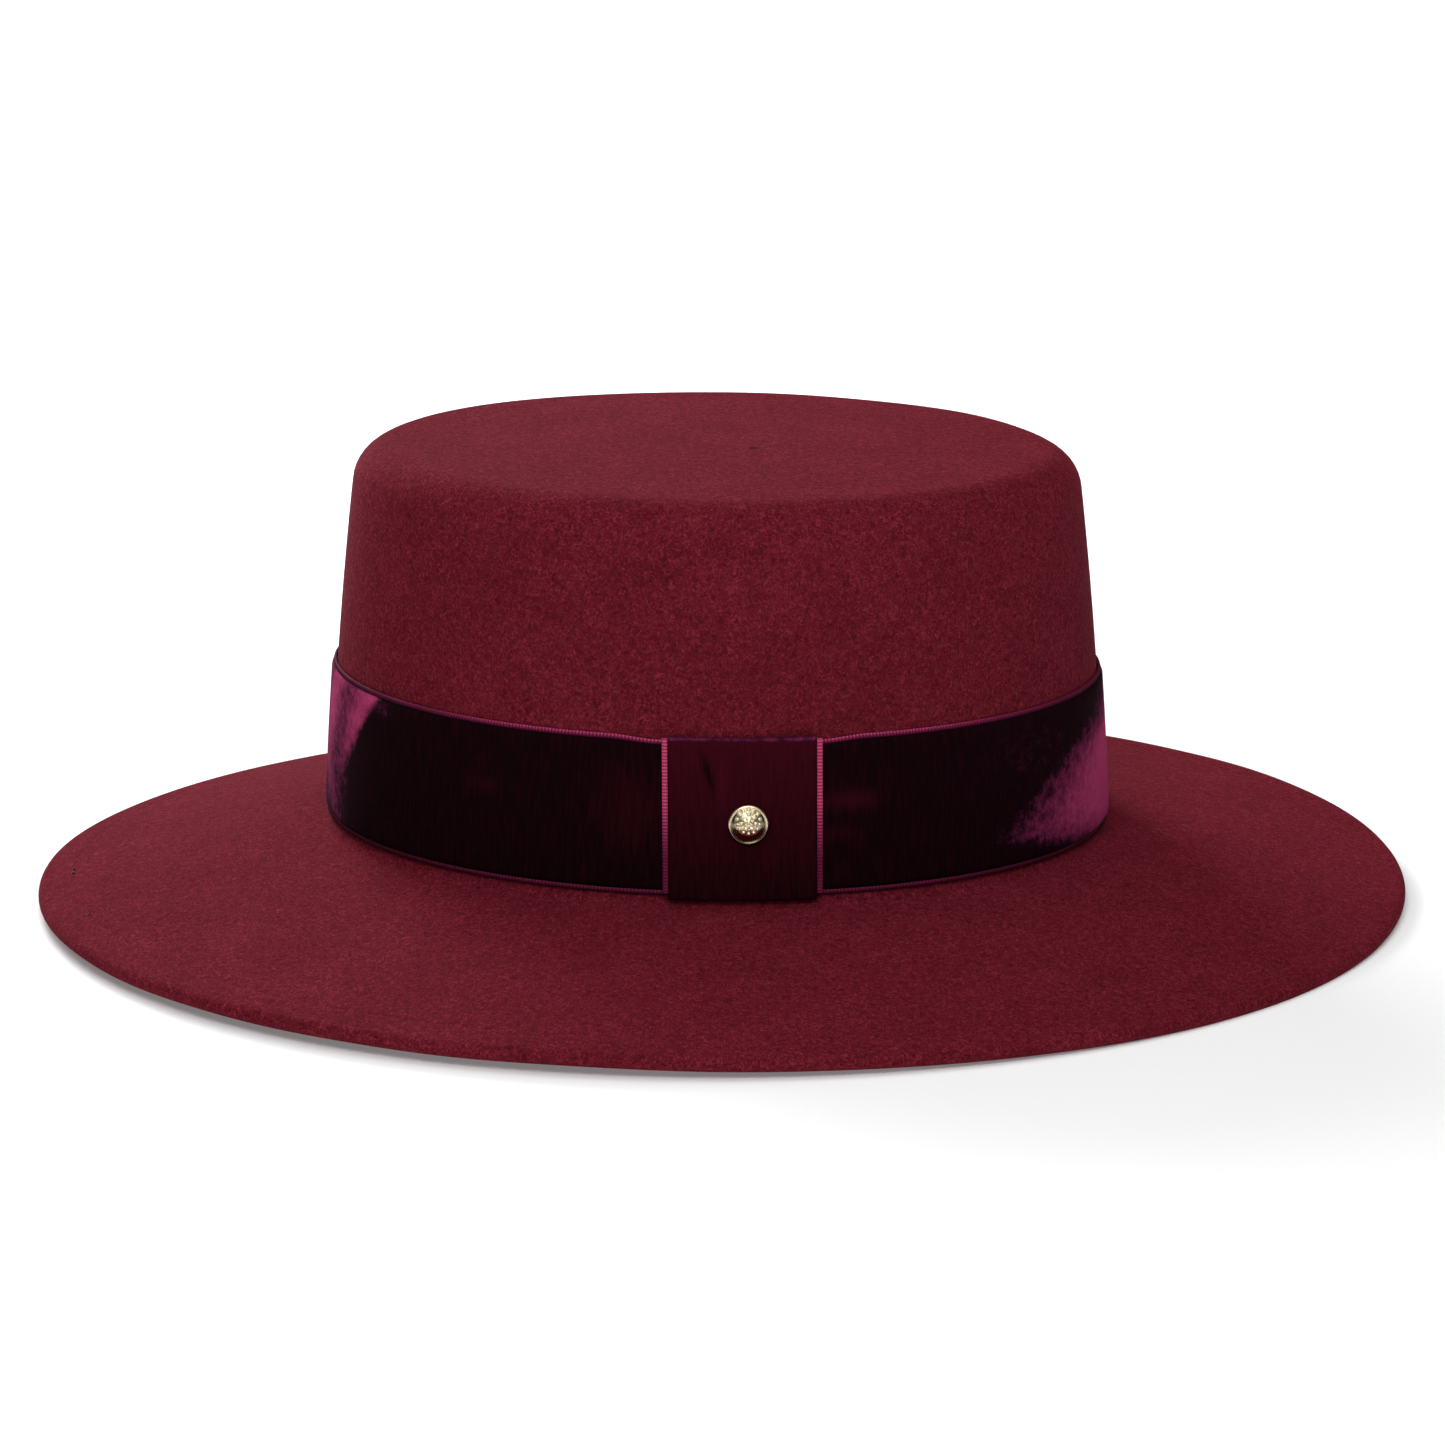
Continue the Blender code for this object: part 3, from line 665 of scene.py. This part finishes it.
def tab_bounds(block):
    """Lowest and highest height of the tab on the wall, and how far out its back lies."""
    ribbon = block.ribbon
    back = ribbon.gap * 2 + ribbon.pile
    low = ribbon.lift - ribbon.gap - ribbon.tab_turn
    high = ribbon.lift + ribbon.width - ribbon.tab_pinch + ribbon.gap + ribbon.tab_turn
    return low, high, back


def rounded_low(across, half, corner):
    """How far the tab's lower edge rises at a place across, by the circle of its corner."""
    into = np.clip(np.abs(across) - (half - corner), 0, corner)
    return corner - np.sqrt(corner**2 - into**2)


def tab_crease(across, up):
    """Slight hollows of the tab: two soft upright folds left of the stud and one to its right."""
    folds = ((-0.0068, 0.0017, 0.00011), (-0.0040, 0.0012, -0.00008), (0.0105, 0.0022, 0.00008))
    away = sum(depth * np.exp(-(((across - at) / wide) ** 2)) for at, wide, depth in folds)
    return -away * np.clip(up, 0, 1) ** 0.5


def make_tab(block, velvet, satin):
    """The velvet tab: a front with soft edges that folds back over the ribbon's edges, and its selvedges."""
    ribbon = block.ribbon
    low, high, back = tab_bounds(block)
    front = back + ribbon.tab_ply
    half = ribbon.tab_width / 2 - ribbon.tab_selvedge
    fold = ribbon.tab_turn
    # The tab's section, (up, out): out along the lower fold, up the front, back along the upper fold
    quarter = np.linspace(0, math.pi / 2, 7)[:, None]
    soft = ribbon.tab_ply * 0.8
    lower = np.array((low + soft, front - soft)) + soft * np.hstack((-np.cos(quarter), np.sin(quarter)))
    upper = np.array((high - soft, front - soft)) + soft * np.hstack((np.sin(quarter), np.cos(quarter)))
    face = line(lower[-1], upper[0], 48)
    outer = np.vstack(((low, ribbon.gap), lower, face, upper, (high, ribbon.gap)))
    inner = np.array((
        (high - fold, ribbon.gap), (high - fold, back), (low + fold, back), (low + fold, ribbon.gap)))
    section = np.vstack((outer, inner))
    across = np.linspace(-half, half, 61)
    edge_round = 0.0007
    edge = np.clip((half - np.abs(across)) / edge_round, 0, 1)
    swell = np.sqrt(1 - (1 - edge) ** 2)[:, None]
    up = np.broadcast_to(section[None, :, 0], (len(across), len(section))).copy()
    out = np.broadcast_to(section[None, :, 1], up.shape).copy()
    base = back + 0.35 * ribbon.tab_ply
    out = np.where(out > base, base + (out - base) * swell, out)
    share = (up - low) / (high - low)
    out += tab_crease(across[:, None], share) * (out > back + ribbon.tab_ply / 2)
    half_all = ribbon.tab_width / 2
    rise = rounded_low(across, half_all, ribbon.tab_corner)[:, None]
    up += rise * np.clip(1 - (up - low) / ribbon.tab_corner / 2, 0, 1)
    points = block.on_side(across[:, None], out, up)
    ends = np.stack((points[0].mean(0), points[-1].mean(0)))
    points = np.concatenate((np.broadcast_to(ends[0], points[:1].shape), points,
                             np.broadcast_to(ends[1], points[:1].shape)))
    share = np.concatenate((share[:1], share, share[-1:]))
    across = np.concatenate((across[:1], across, across[-1:]))
    # Painted sheen along the tab's top fold, where the pile turns away
    painted_sheen = 0.38 * np.clip((share - 0.975) / 0.02, 0, 1)
    wine = 0.10 + 0.38 * share + 0.22 * spot(across[:, None], share, (-0.0048, 0.70), (0.0012, 0.16))
    wine = wine - 0.40 * spot(across[:, None] + 0.012 * share, share, (0.0012, 0.80), (0.0009, 0.13))
    climb = np.append(section[:, 0], section[0, 0])
    uv = np.stack(np.meshgrid(across, climb, indexing="ij"), -1)
    mesh = grid_mesh("velvet_tab", points, closed=(False, True), layers={"painted_sheen": painted_sheen, "wine": wine}, uv=uv)
    add_piece("velvet_tab", mesh, velvet, ["ribbon_tab"])
    strips = [tab_selvedge(block, side) for side in (-1, 1)]
    add_piece("tab_selvedges", joined("tab_selvedges", strips), satin)


def tab_selvedge(block, side):
    """One ribbed edge of the tab, up the front and round into its folds."""
    ribbon = block.ribbon
    low, high, back = tab_bounds(block)
    count = round((high - low) / ribbon.rib)
    samples = 5
    rib = ribs(count, samples)
    up = np.linspace(low + ribbon.tab_corner * 0.8, high - 0.0002, len(rib))
    section = selvedge_section(ribbon.tab_selvedge, ribbon.selvedge_depth)
    outwards = ribbon.tab_width / 2 - ribbon.tab_selvedge + section[None, :, 0]
    deep = section[None, :, 1] * (0.72 + 0.28 * rib[:, None])
    points = block.on_side(side * outwards + 0 * deep, back + ribbon.gap + deep, up[:, None] + 0 * deep)
    ends = [np.broadcast_to(points[i].mean(0), points[:1].shape) for i in (0, -1)]
    points = np.concatenate((ends[0], points, ends[1]))
    share = (up - low) / (high - low)
    # Brighter from a quarter of the way up, with a painted highlight on each rib's crest and painted shade
    # between the ribs
    strength = 0.35 + 0.65 * np.clip((share - 0.25) / 0.35, 0, 1)
    painted_light = strength[:, None] * (0.35 + 0.65 * rib[:, None] + 0 * deep)
    painted_light = np.concatenate((painted_light[:1], painted_light, painted_light[-1:]))
    return grid_mesh("strip", points, closed=(False, True), layers={"painted_light": painted_light})


def stud_place(block, stud):
    """Matrix from the stud's own axis, +Z outwards, to its place on the tab's front."""
    low, high, back = tab_bounds(block)
    front = back + block.ribbon.tab_ply
    up = (low + high) / 2 - stud.drop
    step = block.ribbon.tab_ply
    places = np.array(((stud.offset, up), (stud.offset + step, up), (stud.offset, up + step)))
    seat, side, above = block.on_side(places[:, 0], np.full(3, front), places[:, 1])
    right = (side - seat) / np.linalg.norm(side - seat)
    out = np.cross(right, above - seat)
    out /= np.linalg.norm(out)
    place = np.eye(4)
    place[:3, :4] = np.column_stack((right, np.cross(out, right), out, seat))
    return place


def rosette(radius, turn, petals):
    """Height from 0 to 1 of the raised rosette at a share of the rosette's radius.

    A boss with a ring of beads, petals with a middle ridge, and a ring of pellets outside, each a product of
    a bump over the radius and a wave round the middle.
    """
    def ring(middle, half_width):
        return np.clip(1 - ((radius - middle) / half_width) ** 2, 0, 1)

    boss = ring(0.0, 0.15)
    beads = ring(0.30, 0.12) * np.clip(np.cos(petals * turn) * 1.6, 0, 1)
    petal = ring(0.56, 0.16) * np.clip(np.cos(petals * turn + math.pi) * 1.6 + 0.3, 0, 1)
    ridge = 0.35 * ring(0.56, 0.12) * np.clip(np.cos(3 * petals * turn + math.pi), 0, 1)
    pellet = ring(0.86, 0.12) * np.clip(np.cos(2 * petals * turn) * 1.4 + 0.1, 0, 1)
    return np.clip(boss + beads + petal * (0.75 + ridge) + pellet, 0, 1.2)


def make_stud(block, stud, finish):
    """The domed stud: a parabolic dome with the rosette, a rounded rim and a post."""
    radius = stud.diameter / 2
    gap = block.ribbon.gap
    field = radius - stud.rim
    shares = np.linspace(0, 1, 72)
    dome = np.column_stack((shares * field, gap + stud.rim + stud.dome * (1 - shares**2)))
    rim = arc(np.array((radius - stud.rim / 2, gap + stud.rim * 0.75)), stud.rim / 2, math.pi * 0.9, 0, 10)
    post = block.ribbon.tab_ply * 0.6
    end = gap - block.ribbon.tab_ply
    low = np.array(((radius, gap), (post, gap), (post, end), (0, end)))
    points = turned(np.vstack((dome, rim, low)), 192)
    raised = points[..., 1] - stud.rosette_up
    share = np.hypot(points[..., 0], raised) / stud.rosette
    turn = np.arctan2(raised, points[..., 0])
    on_dome = (np.arange(points.shape[1]) < len(dome))[None, :]
    height = rosette(share, turn + math.pi / 2, stud.petals) * on_dome
    points[..., 2] += stud.relief * height
    # The ground under the rosette is bright; the plain ground and the rim below it have painted shade for the
    # mirrored brim, and the rim is painted lighter at its top
    rim_painted_light = 0.25 + 0.25 * np.clip(3 * points[..., 1] / radius, -1, 1)
    painted_light = np.where(on_dome, np.clip(height + 0.30 * (share < 1), 0, 1), rim_painted_light)
    place = stud_place(block, stud)
    points = points @ place[:3, :3].T + place[:3, 3]
    mesh = grid_mesh("gold_stud", points, closed=(True, False), layers={"raised": painted_light})
    return add_piece("gold_stud", mesh, finish, ["stud"])


def make_stitches(block, thread):
    """Short stitches that show at the groove near the hat's front: small closed lozenges along the seam."""
    felt = block.felt
    run = felt.fold_width - block.edge_radius
    seam = block.edge_centre + block.edge_radius * block.brim_up - run * block.brim_out
    # Turn in degrees from +X, length along the seam and lean across it
    stitches = ((174.0, 0.0011, -0.9), (182.2, 0.0016, 0.2), (183.6, 0.0013, -0.6), (198.6, 0.0012, 0.9))
    half_thick, raised = 0.00030, 0.00005
    u = np.linspace(0, 2 * math.pi, 9)[:-1]
    v = np.linspace(-1, 1, 9)
    meshes = []
    for degrees, long, lean in stitches:
        thick = half_thick * np.sqrt(1 - v**2)[:, None]
        along = v[:, None] * long / 2 + 0 * thick * u
        lift = thick * np.sin(u) + raised
        side = thick * np.cos(u) + lean * along
        radius = seam[0] + side
        turn = math.radians(degrees) + along / seam[0]
        height = seam[1] + lift - side * math.tan(block.brim_tilt)
        points = np.stack((radius * np.cos(turn), radius * np.sin(turn), height), -1)
        meshes.append(grid_mesh("stitch", block.blocked(points), closed=(False, True)))
    return add_piece("brim_stitches", joined("brim_stitches", meshes), thread)


def make_camera():
    """A long lens 1.4 m away, 14.5 degrees above the table and rolled by 0.3 degrees."""
    camera = bpy.data.cameras.new("camera")
    camera.sensor_width = 36.0
    camera.lens = 135.5
    camera.clip_end = 50.0
    elevation, roll, distance = math.radians(14.487), math.radians(-0.30), 1.400
    target = Vector((0.00035, 0.0, 0.0440))
    back = Vector((0.0, -math.cos(elevation), math.sin(elevation)))
    thing = bpy.data.objects.new("camera", camera)
    turn = (-back).to_track_quat("-Z", "Y").to_matrix() @ Matrix.Rotation(roll, 3, "Z")
    thing.matrix_world = Matrix.Translation(target + back * distance) @ turn.to_4x4()
    bpy.context.scene.collection.objects.link(thing)
    bpy.context.scene.camera = thing


def make_light(name, place, size, power, target=(0.0, 0.0, 0.05), spread=180):
    """A soft area light that faces the hat, or another target, within its spread in degrees."""
    light = bpy.data.lights.new(name, "AREA")
    light.shape = "RECTANGLE"
    light.size, light.size_y = size
    light.energy = power
    light.spread = math.radians(spread)
    thing = bpy.data.objects.new(name, light)
    thing.visible_camera = False
    towards = Vector(target) - Vector(place)
    thing.matrix_world = Matrix.Translation(place) @ towards.to_track_quat("-Z", "Y").to_matrix().to_4x4()
    bpy.context.scene.collection.objects.link(thing)


def make_stage(colours):
    """A large round floor, the lights and a pale world."""
    radius = np.array((0.0, 0.5, 2.0, 9.0))
    mesh = grid_mesh("studio_floor", turned(np.column_stack((radius, 0 * radius)), 96))
    paint, _, _ = new_material("matt studio floor", roughness=0.9, specular_ior_level=0.0,
                               base_color=linear(colours.floor), emission_color=linear(colours.floor),
                               emission_strength=0.2)
    mesh.materials.append(paint)
    floor = bpy.data.objects.new("studio_floor", mesh)
    bpy.context.scene.collection.objects.link(floor)
    make_light("overhead_softbox", (0.0, 0.0, 1.8), (1.2, 1.2), 5.5)
    make_light("front_softbox", (0.0, -0.80, 0.62), (0.5, 0.35), 4.0)
    make_light("back_softbox", (-0.9, 1.3, 0.9), (0.9, 0.6), 11.0)
    make_light("back_left_lamp", (-0.36, 0.60, 0.50), (0.35, 0.35), 4.0)
    make_light("background_light", (0.0, 1.9, 1.5), (3.0, 1.2), 60.0, target=(0.0, 1.9, 0.0), spread=80)
    ceiling = bpy.data.lights.new("ceiling", "SUN")
    ceiling.energy = 0.9
    ceiling.angle = math.radians(90)
    bpy.context.scene.collection.objects.link(bpy.data.objects.new("ceiling", ceiling))
    world = bpy.data.worlds.new("studio")
    world.use_nodes = True
    world.node_tree.nodes["Background"].inputs["Color"].default_value = linear("#ffffff")
    world.node_tree.nodes["Background"].inputs["Strength"].default_value = 0.05
    bpy.context.scene.world = world
    bpy.context.scene.view_settings.view_transform = "Standard"


def block_of(context):
    """The form worked out from the scene's sizes."""
    return Block(context.scene.felt_sizes, context.scene.ribbon_sizes)


class HAT_OT_felt(bpy.types.Operator):
    """Build the felt crown and brim with its seam's stitches"""

    bl_idname = "hat.felt"
    bl_label = "Felt"

    def execute(self, context):
        block = block_of(context)
        make_felt(block, context.scene.hat_colours)
        make_stitches(block, sewing_thread(context.scene.hat_colours))
        return {"FINISHED"}


class HAT_OT_trim(bpy.types.Operator):
    """Build the velvet ribbon and the tab folded over it"""

    bl_idname = "hat.trim"
    bl_label = "Ribbon and tab"

    def execute(self, context):
        block = block_of(context)
        velvet = cut_velvet(context.scene.hat_colours)
        satin = satin_selvedge(context.scene.hat_colours)
        make_ribbon(block, velvet, satin)
        make_tab(block, velvet, satin)
        return {"FINISHED"}


class HAT_OT_stud(bpy.types.Operator):
    """Build the gold-tone stud"""

    bl_idname = "hat.stud"
    bl_label = "Stud"

    def execute(self, context):
        make_stud(block_of(context), context.scene.stud_sizes, gold_tone(context.scene.hat_colours))
        return {"FINISHED"}


class HAT_OT_stage(bpy.types.Operator):
    """Set up the floor, lights and camera"""

    bl_idname = "hat.stage"
    bl_label = "Stage"

    def execute(self, context):
        make_camera()
        make_stage(context.scene.hat_colours)
        return {"FINISHED"}


class HAT_PT_panel(bpy.types.Panel):
    """Sizes, colours and pieces of the hat"""

    bl_label = "Boater Hat"
    bl_space_type = "VIEW_3D"
    bl_region_type = "UI"
    bl_category = "Boater Hat"

    def draw(self, context):
        for operator in OPERATORS:
            self.layout.operator(operator.bl_idname)
        for group in GROUPS:
            box = self.layout.box()
            box.label(text=group.__doc__.rstrip("."))
            for setting in group.__annotations__:
                box.prop(getattr(context.scene, GROUPS[group]), setting)


GROUPS = {
    FeltSizes: "felt_sizes",
    RibbonSizes: "ribbon_sizes",
    StudSizes: "stud_sizes",
    HatColours: "hat_colours",
}
OPERATORS = (HAT_OT_felt, HAT_OT_trim, HAT_OT_stud, HAT_OT_stage)


def register():
    """Registers the classes and gives the scene its settings."""
    for item in (*GROUPS, *OPERATORS, HAT_PT_panel):
        bpy.utils.register_class(item)
    for group, name in GROUPS.items():
        setattr(bpy.types.Scene, name, PointerProperty(type=group))


def unregister():
    """Takes the settings and classes away again."""
    for name in GROUPS.values():
        delattr(bpy.types.Scene, name)
    for item in reversed((*GROUPS, *OPERATORS, HAT_PT_panel)):
        bpy.utils.unregister_class(item)


def clear_scene():
    """Removes what a new Blender file holds, and keeps the frame."""
    kept = {*frame["nodes"].values(), *frame["bodies"].values()}
    for thing in list(bpy.data.objects):
        if thing not in kept:
            bpy.data.objects.remove(thing)


def main():
    """Builds the hat."""
    clear_scene()
    register()
    for operator in (bpy.ops.hat.stage, bpy.ops.hat.felt, bpy.ops.hat.trim, bpy.ops.hat.stud):
        operator()
    bpy.context.view_layer.update()


if __name__ == "__main__":
    main()
